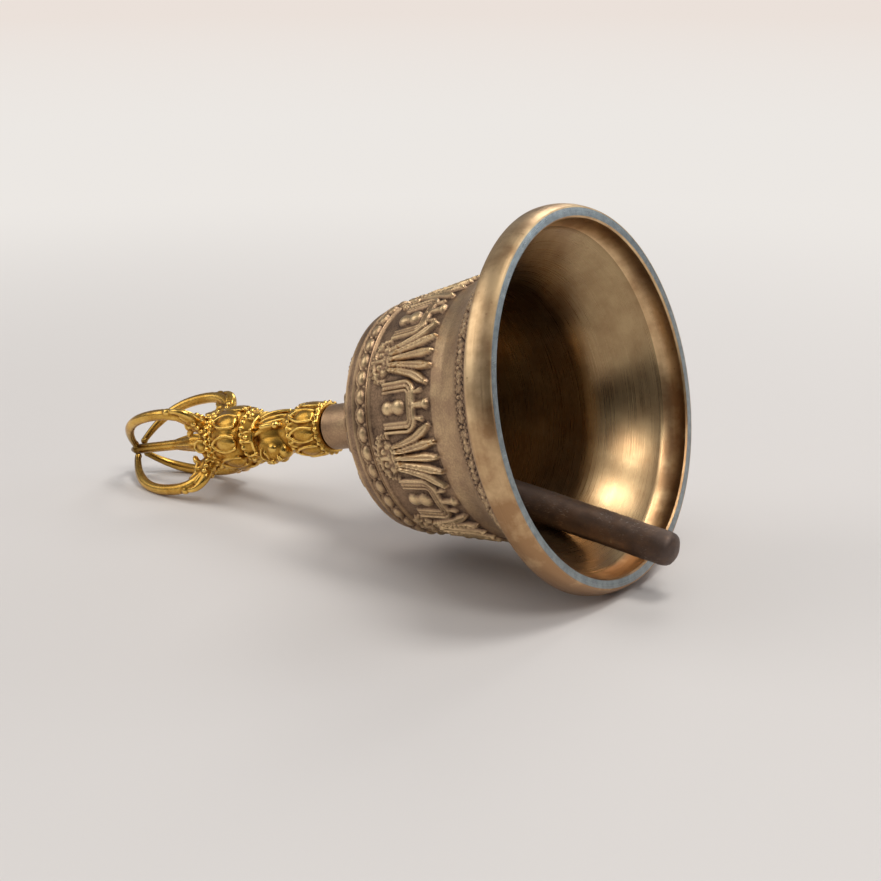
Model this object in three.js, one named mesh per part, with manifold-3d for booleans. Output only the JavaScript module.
// Tibetan hand bell (drilbu) lying on its side, as it rests on a table.
// The bell is drawn upright in its own frame: the mouth at height 0, the handle
// along +Z, and +X the side that points up once the bell lies down. The whole
// bell is then laid over, so that the lip and two vajra prongs touch the table.

import * as THREE from 'three';
import { mergeVertices } from 'three/addons/utils/BufferGeometryUtils.js';
import Module from 'manifold-3d';

const wasm = await Module();
wasm.setup();

// Driving dimensions, in millimetres, angles in degrees
const clearance = 0.3;

const mouthRadius = 47.5;
const mouthFaceWidth = 2.8;
const lipOverhang = 1.2;
const lipHeight = 6.2;
const lipStep = 1.9;
const innerLipDepth = 3.0;
const waistRadius = 34.3;
const waistHeight = 23.7;
const shoulderRadius = 30.2;
const shoulderHeight = 54.8;
const domeRadius = 20;
const domeHeight = 62.4;
const wall = 2.6;
const crownSeat = 61;
const crownBossRadius = 8.5;
const neckRadius = 6.3;
const neckFoot = 68;
const neckTop = 85.5;
const neckRingHeight = 76;
const ringBead = 0.8;
const lowerRidgeHeight = 16.8;
const upperRidgeHeight = 48.9;

const reliefDepth = 1;
const maskCount = 8;
const maskAzimuth = -52.3;
const maskHeight = 44.9;
const maskWidth = 9.6;
const maskTop = 48;
const tasselWidth = 2.2;
const tasselSpread = 4.4;
const tasselFoot = 28.6;
const garlandWidth = 12.4;
const garlandBand = 2.3;
const garlandFoot = 34.2;
const jewelWidth = 3.2;
const jewelHeight = 40.2;
const beadCount = 40;
const beadHeight = 51.6;
const beadLength = 4.4;

const boltRadius = 3;
const boltTop = 104;
const collarRadius = 4.7;
const collarThickness = 1.5;
const washerRadius = 7;
const washerThickness = 1.2;
const eyeRadius = 3.5;
const eyeWire = 1.2;

const linkWire = 1.1;
const linkReach = 16;

const clapperRadius = 4.5;
const clapperLength = 68;
const tongueThickness = 2.4;
const tongueWidth = 7.4;
const tongueHole = 2;
const tongueWall = 1.2;

const stemTop = 126;
const moulding = 0.9;
const vaseRadius = 7.3;
const vaseHeight = 91.7;
const stemWaistRadius = 5.7;
const stemWaistHeight = 97.3;
const headHeight = 105.6;
const headRadius = 6.3;
const faceReach = 9.2;
const faceAzimuth = 225;
const collarHeight = 114.2;
const lotusRadius = 8.6;
const lotusHeight = 121.5;
const petalCount = 8;
const petalDepth = 0.9;

const hubRadius = 8.4;
const hubThickness = 4.6;
const tenonRadius = 3;
const tenonLength = 7;
const prongCount = 4;
const prongRadius = 16;
const prongBellyRise = 15;
const prongTipRise = 35.6;
const prongThickness = 1.4;
const prongTipThickness = 0.8;

const spindleRise = 40;
const spindleRadius = 2.3;
const spindleSwellRise = 13;
const spindleTenonRadius = 1.6;

const wallSteps = 32;

const lipRadius = mouthRadius + lipOverhang;
const prongBellyHeight = stemTop + prongBellyRise;
const prongTipHeight = stemTop + prongTipRise;
const spindleSwellHeight = stemTop + spindleSwellRise;
const spindleTip = stemTop + spindleRise;

// Helpers that turn geometry into closed solids and back
function weld(geometry) {
  geometry.deleteAttribute('normal');
  geometry.deleteAttribute('uv');
  const merged = mergeVertices(geometry, 1e-4);
  const index = merged.getIndex().array;
  const kept = [];
  for (let i = 0; i < index.length; i += 3) {
    const corners = [index[i], index[i + 1], index[i + 2]];
    if (new Set(corners).size === 3) kept.push(...corners);
  }
  if (volumeOf(merged, kept) < 0) kept.reverse();
  merged.setIndex(kept);
  return merged;
}

function volumeOf(geometry, index) {
  const position = geometry.getAttribute('position');
  const corner = [0, 1, 2].map(() => new THREE.Vector3());
  let sum = 0;
  for (let i = 0; i < index.length; i += 3) {
    corner.forEach((v, k) => v.fromBufferAttribute(position, index[i + k]));
    sum += corner[0].dot(corner[1].clone().cross(corner[2])) / 6;
  }
  return sum;
}

function solidOf(geometry) {
  const closed = weld(geometry);
  const vertProperties = new Float32Array(closed.getAttribute('position').array);
  const triVerts = new Uint32Array(closed.getIndex().array);
  return new wasm.Manifold(new wasm.Mesh({ numProp: 3, vertProperties, triVerts }));
}

function geometryOf(solid) {
  const mesh = solid.getMesh();
  const geometry = new THREE.BufferGeometry();
  const vertices = new THREE.Float32BufferAttribute(mesh.vertProperties, mesh.numProp);
  geometry.setAttribute('position', vertices);
  geometry.setIndex(Array.from(mesh.triVerts));
  return geometry;
}

function joined(geometries) {
  return geometries.map(solidOf).reduce((whole, next) => whole.add(next));
}

// A turned solid from (radius, height) points, with its axis along Z
function revolve(profile, segments) {
  const points = profile.map(([radius, height]) => new THREE.Vector2(Math.max(radius, 0), height));
  return new THREE.LatheGeometry(points, segments).rotateX(Math.PI / 2);
}

// A skin over rings of equal point counts, capped at its ends or closed on itself
function loft(rings, closed) {
  const sides = rings[0].length;
  const points = rings.flat();
  const index = [];
  const spans = closed ? rings.length : rings.length - 1;
  for (let i = 0; i < spans; i += 1) {
    const here = i * sides;
    const next = ((i + 1) % rings.length) * sides;
    for (let k = 0; k < sides; k += 1) {
      const turn = (k + 1) % sides;
      index.push(here + k, next + k, next + turn, here + k, next + turn, here + turn);
    }
  }
  if (!closed) {
    const last = (rings.length - 1) * sides;
    for (let k = 1; k < sides - 1; k += 1) {
      index.push(0, k, k + 1, last, last + k + 1, last + k);
    }
  }
  const geometry = new THREE.BufferGeometry().setFromPoints(points);
  geometry.setIndex(index);
  return geometry;
}

// A tube in the XZ plane along a list of points, with a thickness for each share of its way
function planarTube(path, thicknessAt, sides, closed = false) {
  const count = path.length;
  const rings = path.map((point, i) => {
    const before = path[closed ? (i + count - 1) % count : Math.max(i - 1, 0)];
    const after = path[closed ? (i + 1) % count : Math.min(i + 1, count - 1)];
    const along = new THREE.Vector3(after.x - before.x, 0, after.y - before.y).normalize();
    const across = new THREE.Vector3(-along.z, 0, along.x);
    const thickness = thicknessAt(i / (count - 1));
    return Array.from({ length: sides }, (_, k) => {
      const turn = (2 * Math.PI * k) / sides;
      const ring = new THREE.Vector3(point.x, 0, point.y);
      ring.addScaledVector(across, thickness * Math.cos(turn));
      ring.y += thickness * Math.sin(turn);
      return ring;
    });
  });
  return loft(rings, closed);
}

function ellipsoid(radii, centre, segments = 10) {
  const ball = new THREE.SphereGeometry(1, segments, Math.round(segments * 0.6));
  return ball.rotateX(Math.PI / 2).scale(...radii).translate(...centre);
}

function arcPoints(start, controls, end, steps) {
  const [a, b, c, d] = [start, ...controls, end].map(([x, y]) => new THREE.Vector2(x, y));
  const curve = d ? new THREE.CubicBezierCurve(a, b, c, d) : new THREE.QuadraticBezierCurve(a, b, c);
  return curve.getPoints(steps).map((point) => [point.x, point.y]);
}

// A half-round bead laid on a profile at one height
function addBead(profile, height, size) {
  const above = profile.findIndex((point) => point[1] > height);
  const [low, high] = [profile[above - 1], profile[above]];
  const share = (height - low[1]) / (high[1] - low[1]);
  const radius = THREE.MathUtils.lerp(low[0], high[0], share);
  const slope = (high[0] - low[0]) / (high[1] - low[1]);
  const bead = [-1, 0, 1].map((step) => {
    const rise = size * Math.sqrt(Math.max(1 - step * step, 0));
    return [radius + slope * step * size + rise, height + step * size];
  });
  const before = profile.filter((point, i) => i < above && point[1] < height - size);
  const after = profile.filter((point, i) => i >= above && point[1] > height + size);
  return [...before, ...bead, ...after];
}

// Bell shell: the cast wall with its heavy lip, the shoulder, the dome and the neck
function outerWall() {
  const flare = arcPoints(
    [lipRadius - lipStep, lipHeight + lipStep / 2],
    [
      [lipRadius - 3.2 * lipStep, lipHeight + 2 * lipStep],
      [waistRadius + 0.85 * lipStep, waistHeight - 3 * lipStep],
    ],
    [waistRadius, waistHeight],
    6,
  );
  const middle = [
    (waistRadius + shoulderRadius) / 2 - wall / 4,
    (waistHeight + shoulderHeight) / 2,
  ];
  const side = arcPoints([waistRadius, waistHeight], [middle], [shoulderRadius, shoulderHeight], 4);
  const corner = [
    THREE.MathUtils.lerp(domeRadius, shoulderRadius, 0.85),
    THREE.MathUtils.lerp(shoulderHeight, domeHeight, 0.7),
  ];
  const shoulder = arcPoints([shoulderRadius, shoulderHeight], [corner], [domeRadius, domeHeight], 4);
  const domeEdge = [1.63 * neckRadius, neckFoot - 0.19 * neckRadius];
  const dome = arcPoints(
    [domeRadius, domeHeight],
    [[(domeRadius + domeEdge[0]) / 2, domeEdge[1] - 0.16 * neckRadius]],
    domeEdge,
    3,
  );
  return [...flare, ...side.slice(1), ...shoulder.slice(1), ...dome.slice(1)];
}

function shellProfile() {
  const wallLine = outerWall();
  const lip = arcPoints(
    [mouthRadius, 0],
    [[lipRadius + 0.25 * lipOverhang, lipHeight / 2]],
    [lipRadius, lipHeight],
    3,
  );
  const neckFillet = arcPoints(
    wallLine[wallLine.length - 1],
    [[neckRadius, neckFoot]],
    [neckRadius, neckFoot + 0.63 * neckRadius],
    3,
  );
  let outside = [...lip, ...wallLine, ...neckFillet.slice(1), [neckRadius, neckTop]];
  outside = addBead(outside, lowerRidgeHeight, ringBead / 2);
  outside = addBead(outside, upperRidgeHeight, ringBead / 2);
  outside = addBead(outside, neckRingHeight, ringBead);
  const bore = boltRadius + clearance;
  return [...outside, [bore, neckTop], [bore, crownSeat], ...innerWall().reverse()];
}

// The inside of the wall, from the mouth to the flat seat under the crown
function innerWall() {
  const wallLine = outerWall();
  const crease = [mouthRadius - 0.95 * mouthFaceWidth, innerLipDepth];
  const inset = wallLine.map((point, i) => {
    const before = wallLine[Math.max(i - 1, 0)];
    const after = wallLine[Math.min(i + 1, wallLine.length - 1)];
    const along = new THREE.Vector2(after[0] - before[0], after[1] - before[1]).normalize();
    return [point[0] - wall * along.y, point[1] + wall * along.x];
  });
  const clear = inset.filter(([radius, height]) => {
    const clearOfLip = height > crease[1] + wall && radius < crease[0] - wall / 2;
    return clearOfLip && radius > 1.1 * crownBossRadius;
  });
  const inside = clear.filter((point, i) => i % 2 === 0 || i === clear.length - 1);
  return [
    [mouthRadius - mouthFaceWidth, 0],
    crease,
    ...inside,
    [1.07 * crownBossRadius, crownSeat + 0.6 * wall],
    [crownBossRadius, crownSeat],
  ];
}

function bellShell() {
  const profile = shellProfile();
  const turned = solidOf(revolve([...profile, profile[0]], wallSteps));
  return geometryOf(turned.add(relief()));
}

// Relief on the wall. A point lies some millimetres round the bell from a motif's middle.
function onWall(arc, height) {
  const line = outerWall();
  const above = line.findIndex((point) => point[1] > height);
  const [low, high] = [line[above - 1], line[above]];
  const share = (height - low[1]) / (high[1] - low[1]);
  const radius = THREE.MathUtils.lerp(low[0], high[0], share);
  return new THREE.Vector3(radius, 0, height).applyAxisAngle(new THREE.Vector3(0, 0, 1), arc / radius);
}

function boss(arc, height, halfWidth, halfHeight, lift, segments = 5) {
  const place = onWall(arc, height);
  const form = ellipsoid([lift, halfWidth, halfHeight], [0, 0, 0], segments);
  return form.rotateZ(Math.atan2(place.y, place.x)).translate(place.x, place.y, place.z);
}

// A half-round strand on the wall, through points that each have a half width
function wallStrand(stops) {
  const sides = 4;
  const points = stops.map(([arc, height]) => onWall(arc, height));
  const rings = points.map((point, i) => {
    const along = points[Math.min(i + 1, points.length - 1)].clone();
    along.sub(points[Math.max(i - 1, 0)]).normalize();
    const outward = new THREE.Vector3(point.x, point.y, 0).normalize();
    const across = new THREE.Vector3().crossVectors(along, outward).normalize();
    return Array.from({ length: sides }, (_, k) => {
      const turn = (2 * Math.PI * k) / sides;
      const ring = point.clone().addScaledVector(across, stops[i][2] * Math.cos(turn));
      return ring.addScaledVector(outward, reliefDepth * Math.sin(turn));
    });
  });
  return loft(rings, false);
}

// A guardian mask with three tassels that fan out below it
function maskMotif() {
  const eyeSize = maskWidth / 9;
  const eyeLift = 1.2 * reliefDepth;
  const forms = [boss(0, maskHeight, maskWidth / 2, maskTop - maskHeight, 0.7 * reliefDepth, 6)];
  for (const side of [-1, 1]) {
    const arc = side * 1.7 * eyeSize;
    forms.push(boss(arc, maskHeight + eyeSize / 2, eyeSize, eyeSize, eyeLift, 4));
  }
  const tasselTop = 2 * maskHeight - maskTop;
  for (const place of [-1, 0, 1]) {
    const foot = tasselFoot + Math.abs(place) * tasselWidth * 0.2;
    const reach = place * tasselSpread;
    const start = [reach * 0.4, tasselTop, 0.3 * tasselWidth];
    const bell = [reach, foot + tasselWidth, 0.7 * tasselWidth];
    forms.push(wallStrand([start, bell, [reach, foot, 0.3 * tasselWidth]]));
  }
  return joined(forms);
}

// A garland that hangs between two masks, with a two-lobed jewel in its loop
function garlandMotif() {
  const half = (garlandWidth - garlandBand) / 2;
  const band = garlandBand / 2;
  const corner = garlandBand;
  const right = [
    [half, maskHeight, band],
    [half, garlandFoot + corner, band],
    [half - corner, garlandFoot, band],
  ];
  const left = right.map(([arc, height, width]) => [-arc, height, width]).reverse();
  const lobe = jewelWidth / 2;
  return joined([
    wallStrand([...right, ...left]),
    boss(0, jewelHeight + lobe, lobe, lobe, 1.2 * reliefDepth),
    boss(0, jewelHeight - lobe * 0.8, lobe, lobe, 1.2 * reliefDepth),
  ]);
}

function relief() {
  const mask = maskMotif();
  const garland = garlandMotif();
  const bead = solidOf(boss(0, beadHeight, beadLength / 2, 0.42 * beadLength, 0.9 * reliefDepth));
  const spacing = 360 / maskCount;
  const motifs = [];
  for (let i = 0; i < maskCount; i += 1) {
    const azimuth = maskAzimuth + i * spacing;
    motifs.push(mask.rotate([0, 0, azimuth]), garland.rotate([0, 0, azimuth + spacing / 2]));
  }
  for (let i = 0; i < beadCount; i += 1) {
    motifs.push(bead.rotate([0, 0, ((i + 0.5) * 360) / beadCount]));
  }
  return wasm.Manifold.union(motifs);
}

// Eye bolt: holds bell and handle together, and carries the clapper's link
const washerFace = crownSeat - clearance;
const collarFace = washerFace - washerThickness - clearance;
const eyeHeight = collarFace - collarThickness - eyeRadius;
const linkPivotHeight = eyeHeight - eyeRadius;

function eyeBolt() {
  const shank = revolve(
    [
      [0, collarFace - collarThickness],
      [collarRadius, collarFace - collarThickness],
      [collarRadius, collarFace],
      [boltRadius, collarFace],
      [boltRadius, boltTop - 0.2 * boltRadius],
      [0.8 * boltRadius, boltTop],
      [0, boltTop],
    ],
    16,
  );
  const eye = new THREE.TorusGeometry(eyeRadius, eyeWire, 8, 18).rotateY(Math.PI / 2);
  return geometryOf(joined([shank, eye.translate(0, 0, eyeHeight)]));
}

function crownWasher() {
  const bore = boltRadius + clearance;
  const low = washerFace - washerThickness;
  const section = [[bore, low], [washerRadius, low], [washerRadius, washerFace], [bore, washerFace]];
  return revolve([...section, section[0]], 24);
}

// Link: one oval of wire, drawn with its upper bend round the origin, hanging along -Z
const linkBend = eyeWire + clearance + linkWire;

function hangerLink() {
  const path = [];
  const bendSteps = 8;
  for (const [centre, start] of [[0, 0], [-linkReach, Math.PI]]) {
    for (let i = 0; i <= bendSteps; i += 1) {
      const turn = start + (Math.PI * i) / bendSteps;
      path.push(new THREE.Vector2(linkBend * Math.cos(turn), centre + linkBend * Math.sin(turn)));
    }
  }
  return planarTube(path, () => linkWire, 8, true);
}

// Clapper: a round iron rod along -Z, hung by a flat drilled tongue at the origin
const bendSag = linkBend - Math.sqrt(linkBend ** 2 - (tongueThickness / 2) ** 2);
const holeDepth = linkBend - linkWire - 1.2 * bendSag - clearance + tongueHole;
const tongueEnd = holeDepth - tongueHole - tongueWall;
const rodShoulder = linkBend + linkWire + (2 / 3) * clapperRadius;

function clapper() {
  const end = -clapperLength;
  const rod = revolve(
    [
      [0, end],
      [clapperRadius * 0.55, end + clapperRadius * 0.055],
      [clapperRadius * 0.85, end + clapperRadius * 0.22],
      [clapperRadius, end + clapperRadius * 0.53],
      [clapperRadius, -rodShoulder - clapperRadius * 0.55],
      [clapperRadius * 0.72, -rodShoulder],
      [0, -rodShoulder],
    ],
    24,
  );
  const outline = new THREE.Shape();
  const tongueRoot = -rodShoulder - clapperRadius * 0.45;
  outline.moveTo(tongueRoot, tongueWidth / 2);
  outline.lineTo(tongueRoot, -tongueWidth / 2);
  outline.absarc(-tongueEnd - tongueWidth / 2, 0, tongueWidth / 2, -Math.PI / 2, Math.PI / 2);
  const tongue = new THREE.ExtrudeGeometry(outline, {
    depth: tongueThickness,
    bevelEnabled: false,
    curveSegments: 8,
  });
  tongue.translate(0, 0, -tongueThickness / 2).rotateY(-Math.PI / 2);
  const hole = new THREE.CylinderGeometry(tongueHole, tongueHole, 4 * tongueThickness, 16);
  hole.rotateZ(Math.PI / 2).translate(0, 0, -holeDepth);
  return geometryOf(joined([rod, tongue]).subtract(solidOf(hole)));
}

// The rod's lean when it lies on the waist of the wall, a clearance away from it
function clapperLean() {
  const leans = innerWall()
    .filter(([radius, height]) => height < linkPivotHeight - clapperRadius && radius > linkReach)
    .map(([radius, height]) => {
      const reach = Math.hypot(radius - linkReach, linkPivotHeight - height);
      const bearing = Math.atan2(radius - linkReach, linkPivotHeight - height);
      return bearing - Math.asin((clapperRadius + clearance) / reach);
    });
  return Math.min(...leans);
}

// Handle stem: vase with petals, waist, crowned head, collar and lotus seat, in one casting
function petals(geometry, low, high, count, depth) {
  const position = geometry.getAttribute('position');
  for (let i = 0; i < position.count; i += 1) {
    const [x, y, z] = [position.getX(i), position.getY(i), position.getZ(i)];
    const share = (z - low) / (high - low);
    if (share > 0 && share < 1 && Math.hypot(x, y) > boltRadius + 1) {
      const lobe = Math.abs(Math.cos((count * Math.atan2(y, x)) / 2)) - 0.5;
      const swell = 1 + (depth * lobe * Math.sin(Math.PI * share)) / Math.hypot(x, y);
      position.setXY(i, x * swell, y * swell);
    }
  }
  return geometry;
}

const stemBottom = neckTop + clearance;
const vaseFoot = stemBottom + 2.4 * moulding;
const vaseTop = stemWaistHeight - 1.6 * moulding;
const lotusFoot = collarHeight + 1.7 * moulding;
const lotusTop = stemTop - 1.8 * moulding;

function stemBody() {
  const socket = tenonRadius + clearance;
  const bore = boltRadius + clearance;
  const outside = [
    [neckRadius + 0.6 * moulding, stemBottom],
    [neckRadius + 1.2 * moulding, stemBottom + moulding],
    [neckRadius + 0.3 * moulding, stemBottom + 2 * moulding],
    ...arcPoints(
      [neckRadius, vaseFoot],
      [[2 * vaseRadius - neckRadius - 0.4 * moulding, vaseHeight]],
      [stemWaistRadius, vaseTop],
      4,
    ),
    [stemWaistRadius + moulding, stemWaistHeight - 0.7 * moulding],
    [stemWaistRadius + moulding, stemWaistHeight + 0.4 * moulding],
    [stemWaistRadius, stemWaistHeight + 1.3 * moulding],
    [stemWaistRadius - 0.9 * moulding, headHeight],
    [headRadius - 0.2 * moulding, collarHeight - 3.3 * moulding],
    [headRadius + 1.1 * moulding, collarHeight - moulding],
    [headRadius + 1.3 * moulding, collarHeight],
    [headRadius + 0.4 * moulding, collarHeight + moulding],
    ...arcPoints(
      [headRadius, lotusFoot],
      [
        [lotusRadius + 2.6 * moulding, collarHeight + 3.3 * moulding],
        [lotusRadius + 0.7 * moulding, lotusHeight + 1.1 * moulding],
      ],
      [lotusRadius - 0.7 * moulding, lotusTop],
      5,
    ),
    [lotusRadius, stemTop - 0.9 * moulding],
    [lotusRadius - 0.6 * moulding, stemTop],
  ];
  const socketFloor = stemTop - tenonLength - clearance;
  const top = [[socket, stemTop], [socket, socketFloor], [0, socketFloor]];
  const boltHole = [[0, boltTop + clearance], [bore, boltTop + clearance], [bore, stemBottom]];
  const turned = weld(revolve([...boltHole, ...outside, ...top], 32));
  petals(turned, vaseFoot, vaseTop, petalCount, petalDepth);
  return petals(turned, lotusFoot, lotusTop, petalCount, petalDepth);
}

// The head looks along +X here. Its forms are shares of its radius, on plain proportions:
// eyes at half height, and the nose a third of the way below them.
function headForm(radii, forward, sideways, up, segments) {
  const centre = [forward, sideways * headRadius, headHeight + up * headRadius];
  return ellipsoid(radii.map((share) => share * headRadius), centre, segments);
}

function head() {
  const pieces = [
    headForm([1, 1, 1.17], 0.06 * headRadius, 0, 0, 12),
    headForm([0.92, 0.84, 1.06], faceReach - 0.92 * headRadius, 0, -0.06, 12),
    headForm([0.19, 0.135, 0.32], faceReach - 0.08 * headRadius, 0, -0.22, 6),
    headForm([0.13, 0.24, 0.08], faceReach - 0.16 * headRadius, 0, -0.63, 6),
  ];
  for (const side of [-1, 1]) {
    pieces.push(headForm([0.13, 0.2, 0.1], faceReach - 0.17 * headRadius, side * 0.33, 0.1, 6));
    pieces.push(headForm([0.17, 0.13, 0.45], 0.22 * headRadius, side, -0.16, 6));
  }
  for (const bearing of [-104, -52, 0, 52, 104]) {
    const leaf = ellipsoid([0.14, 0.33, 0.52].map((share) => share * headRadius), [0, 0, 0], 6);
    leaf.rotateY(0.22).translate(1.05 * headRadius, 0, headHeight + 0.98 * headRadius);
    leaf.rotateZ(THREE.MathUtils.degToRad(bearing)).translate(0.13 * headRadius, 0, 0);
    pieces.push(leaf);
  }
  return joined(pieces);
}

function handleStem() {
  const bore = boltRadius + clearance;
  const boltHole = new THREE.CylinderGeometry(bore, bore, boltTop - stemBottom, 20);
  boltHole.rotateX(Math.PI / 2).translate(0, 0, (boltTop + stemBottom) / 2 + clearance);
  const turnedHead = head().subtract(solidOf(boltHole));
  const face = geometryOf(turnedHead).rotateZ(THREE.MathUtils.degToRad(faceAzimuth));
  return geometryOf(joined([stemBody(), face]));
}

// Vajra cage: a hub with four prongs that leave the mouths of makara heads
const hubBottom = stemTop + clearance;
const hubTop = hubBottom + hubThickness;

function prongPath() {
  const tip = [spindleTenonRadius + prongTipThickness + clearance, prongTipHeight];
  const belly = [prongRadius, prongBellyHeight];
  const lower = arcPoints(
    [0.76 * hubRadius, hubTop - 0.52 * hubThickness],
    [
      [0.85 * prongRadius, hubTop - 0.35 * hubThickness],
      [1.0125 * prongRadius, prongBellyHeight - 0.4 * prongRadius],
    ],
    belly,
    6,
  );
  const upper = arcPoints(
    belly,
    [
      [0.9875 * prongRadius, prongBellyHeight + 0.59 * prongRadius],
      [0.78 * prongRadius, prongTipHeight - 0.225 * prongRadius],
    ],
    tip,
    8,
  );
  return [...lower, ...upper.slice(1)].map(([radius, height]) => new THREE.Vector2(radius, height));
}

const prongThicknessAt = (share) => THREE.MathUtils.lerp(prongThickness, prongTipThickness, share ** 3);

// A makara head in shares of the hub's radius, with the prong that leaves its mouth
function makaraProng() {
  const place = (out, up) => [out * hubRadius, hubTop + up * hubRadius];
  const lump = (radii, out, up, segments) => {
    const [radius, height] = place(out, up);
    return ellipsoid(radii.map((share) => share * hubRadius), [radius, 0, height], segments);
  };
  const trunk = arcPoints(
    place(1.405, -0.12),
    [place(1.81, -0.143), place(2.07, 0.238)],
    place(1.93, 0.524),
    5,
  ).map(([radius, height]) => new THREE.Vector2(radius, height));
  return joined([
    planarTube(prongPath(), prongThicknessAt, 6),
    lump([0.4, 0.3, 0.345], 1.07, -0.1, 8),
    planarTube(trunk, (share) => THREE.MathUtils.lerp(0.2, 0.083, share) * hubRadius, 6),
    lump([0.143, 0.095, 0.25], 0.857, 0.19, 6),
  ]);
}

function vajraCage() {
  const hub = revolve(
    [
      [0, hubBottom - tenonLength],
      [tenonRadius, hubBottom - tenonLength],
      [tenonRadius, hubBottom],
      [0.93 * hubRadius, hubBottom],
      [hubRadius, hubBottom + 0.2 * hubThickness],
      [0.905 * hubRadius, hubBottom + 0.39 * hubThickness],
      [0.964 * hubRadius, hubTop - 0.26 * hubThickness],
      [0.81 * hubRadius, hubTop],
      [0, hubTop],
    ],
    24,
  );
  const prong = makaraProng();
  const socketRadius = spindleTenonRadius + clearance;
  const socket = new THREE.CylinderGeometry(socketRadius, socketRadius, hubThickness, 16);
  socket.rotateX(Math.PI / 2).translate(0, 0, hubTop);
  let cage = solidOf(hub);
  for (let i = 0; i < prongCount; i += 1) {
    const bearing = (360 / prongCount) * (i + 0.5);
    cage = cage.add(prong.rotate([0, 0, bearing]));
  }
  return geometryOf(cage.subtract(solidOf(socket)));
}

// Centre prong: a turned spindle screwed into the hub
function centreProng() {
  const foot = hubTop + clearance;
  const tenonFoot = hubTop - hubThickness / 2 + clearance;
  const slim = spindleTenonRadius - 0.04 * spindleRadius;
  const rise = (share) => share * spindleRadius;
  return revolve(
    [
      [0, tenonFoot],
      [spindleTenonRadius, tenonFoot],
      [spindleTenonRadius, foot],
      [1.4 * spindleRadius, foot],
      [1.48 * spindleRadius, foot + rise(0.35)],
      [1.13 * spindleRadius, foot + rise(0.7)],
      [0.7 * spindleRadius, foot + rise(1.04)],
      [spindleRadius, spindleSwellHeight - rise(0.6)],
      [1.09 * spindleRadius, spindleSwellHeight],
      [spindleRadius, spindleSwellHeight + rise(0.6)],
      [spindleTenonRadius, spindleSwellHeight + rise(2.6)],
      [slim, prongTipHeight - rise(0.87)],
      [slim, prongTipHeight + rise(0.43)],
      [spindleTenonRadius + 0.04 * spindleRadius, prongTipHeight + rise(0.87)],
      [0.22 * spindleRadius, spindleTip - rise(0.26)],
      [0, spindleTip],
    ],
    16,
  );
}

// Materials
const bellMetal = new THREE.MeshStandardMaterial({ color: 0x8a6a45, roughness: 0.42, metalness: 0.9 });
const gilt = new THREE.MeshStandardMaterial({ color: 0xd9a83a, roughness: 0.3, metalness: 1 });
const iron = new THREE.MeshStandardMaterial({ color: 0x46352c, roughness: 0.6, metalness: 0.7 });
const steel = new THREE.MeshStandardMaterial({ color: 0x6f6a62, roughness: 0.45, metalness: 0.9 });

function part(name, geometry, material) {
  const mesh = new THREE.Mesh(weld(geometry), material);
  mesh.name = name;
  return mesh;
}

// The upright bell
const bell = new THREE.Group();
bell.add(part('bell_shell', bellShell(), bellMetal));
bell.add(part('eye_bolt', eyeBolt(), iron));
bell.add(part('crown_washer', crownWasher(), steel));
bell.add(part('handle_stem', handleStem(), gilt));
bell.add(part('vajra_cage', vajraCage(), gilt));
bell.add(part('centre_prong', centreProng(), gilt));

const link = part('hanger_link', hangerLink(), steel);
link.position.set(0, 0, linkPivotHeight);
link.rotation.y = Math.PI / 2;
bell.add(link);

const rod = part('clapper', clapper(), iron);
rod.position.set(-linkReach, 0, linkPivotHeight);
rod.rotation.y = clapperLean();
bell.add(rod);

// Laid on its side: the tilt at which the lip and the two lower prongs touch the table
function restingTilt() {
  const halfSpread = Math.cos(Math.PI / prongCount);
  const path = prongPath();
  const tilts = path.map((point, i) => {
    const depth = point.x * halfSpread + prongThicknessAt(i / (path.length - 1));
    return Math.atan2(lipRadius - depth, point.y - lipHeight);
  });
  return Math.min(...tilts);
}

bell.rotation.y = -(Math.PI / 2 + restingTilt());

// Origin: the middle of the footprint, on the table
const model = new THREE.Group();
model.add(bell);
model.updateMatrixWorld(true);
const box = new THREE.Box3().setFromObject(model, true);
const middle = box.getCenter(new THREE.Vector3());
bell.position.set(-middle.x, -middle.y, -box.min.z);

export default model;
